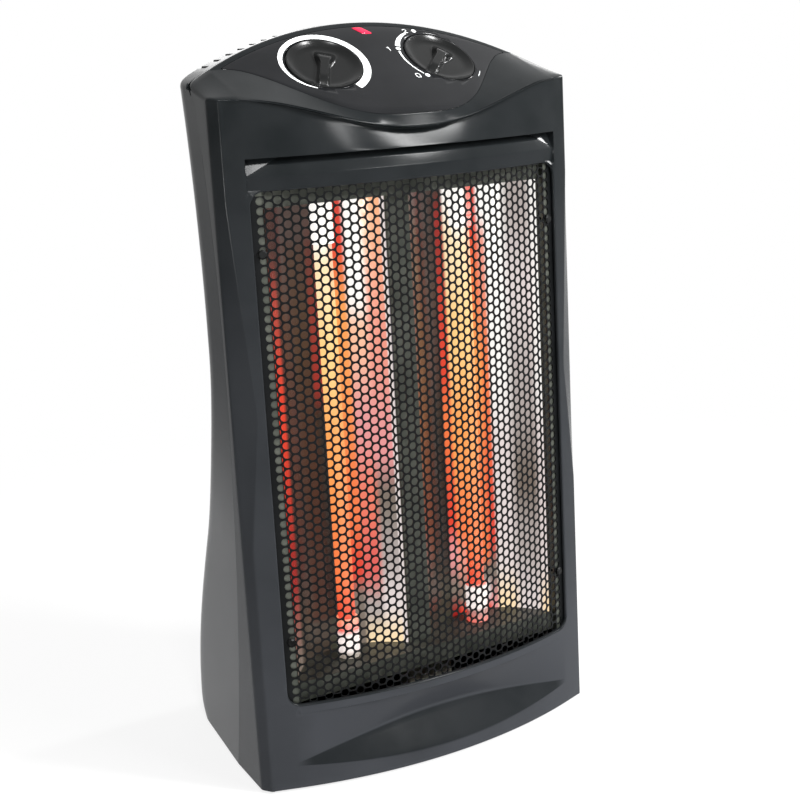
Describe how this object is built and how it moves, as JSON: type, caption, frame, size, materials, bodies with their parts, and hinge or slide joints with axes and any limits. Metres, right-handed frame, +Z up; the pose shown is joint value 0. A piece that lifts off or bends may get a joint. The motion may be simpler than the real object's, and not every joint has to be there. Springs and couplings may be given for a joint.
{
  "type": "quartz heater",
  "caption": "Upright radiant heater: a bowed black case that flares to its base, a perforated grille over glowing quartz tubes, and knobs on a sloped head.",
  "frame": {"origin": "on the floor, under the middle of the case", "axes": "+Z up, the bowed front with the grille faces -Y, +X to the right seen from the front"},
  "size_m": [0.309, 0.211, 0.58],
  "materials": {
    "case": "satin black",
    "panel": "gloss dark grey",
    "knob": "gloss black",
    "shaft": "turned",
    "pale_resin": "moulded",
    "dark_resin": "moulded",
    "lens": "clear red",
    "grille": "satin black",
    "polished": "polished",
    "zinc": "galvanised",
    "quartz": "clear, lit from inside",
    "coil": "glowing wire",
    "ceramic": "unglazed",
    "rubber": "matte black",
    "screw": "zinc plated"
  },
  "bodies": {
    "heater": {"front_housing": "case", "rear_housing": "case", "base_plate": "case", "control_panel": "panel", "thermostat_body": "pale_resin", "selector_body": "pale_resin", "pilot_lamp": "pale_resin", "terminal_block": "pale_resin", "thermal_cutoff": "dark_resin", "tip_switch": "dark_resin", "pilot_lens": "lens", "grille": "grille", "reflector_left": "polished", "reflector_right": "polished", "centre_strip": "zinc", "heat_shield": "zinc", "lower_bracket": "zinc", "upper_bracket": "zinc", "quartz_tube_left": "quartz", "quartz_tube_right": "quartz", "heating_coil_left": "coil", "heating_coil_right": "coil", "cap_lower_left": "ceramic", "cap_lower_right": "ceramic", "cap_upper_left": "ceramic", "cap_upper_right": "ceramic", "foot_1": "rubber", "foot_2": "rubber", "foot_3": "rubber", "foot_4": "rubber", "cord_gland": "rubber", "rear_screw_1": "screw", "rear_screw_2": "screw", "rear_screw_3": "screw", "rear_screw_4": "screw", "base_screw_1": "screw", "base_screw_2": "screw", "base_screw_3": "screw", "base_screw_4": "screw", "grille_screw_1": "screw", "grille_screw_2": "screw", "grille_screw_3": "screw", "grille_screw_4": "screw"},
    "thermostat": {"thermostat_knob": "knob", "thermostat_spindle": "shaft"},
    "selector": {"selector_knob": "knob", "selector_spindle": "shaft"},
    "plunger": {"tip_plunger": "pale_resin"}
  },
  "joints": [
    {"name": "thermostat_turn", "type": "hinge", "parent": "heater", "child": "thermostat", "pos_m": [-0.04857, -0.04884, 0.55144], "axis": [-0.0745, -0.6001, 0.7964], "range_deg": [-300, 0]},
    {"name": "selector_turn", "type": "hinge", "parent": "heater", "child": "selector", "pos_m": [0.05306, -0.04826, 0.55144], "axis": [0.0814, -0.5998, 0.796], "range_deg": [-124, 0]},
    {"name": "plunger_slide", "type": "slide", "parent": "heater", "child": "plunger", "axis": [0, 0, -1], "range_m": [0, 0.004], "stiffness_N_per_m": 100, "springref_m": 0.006}
  ]
}
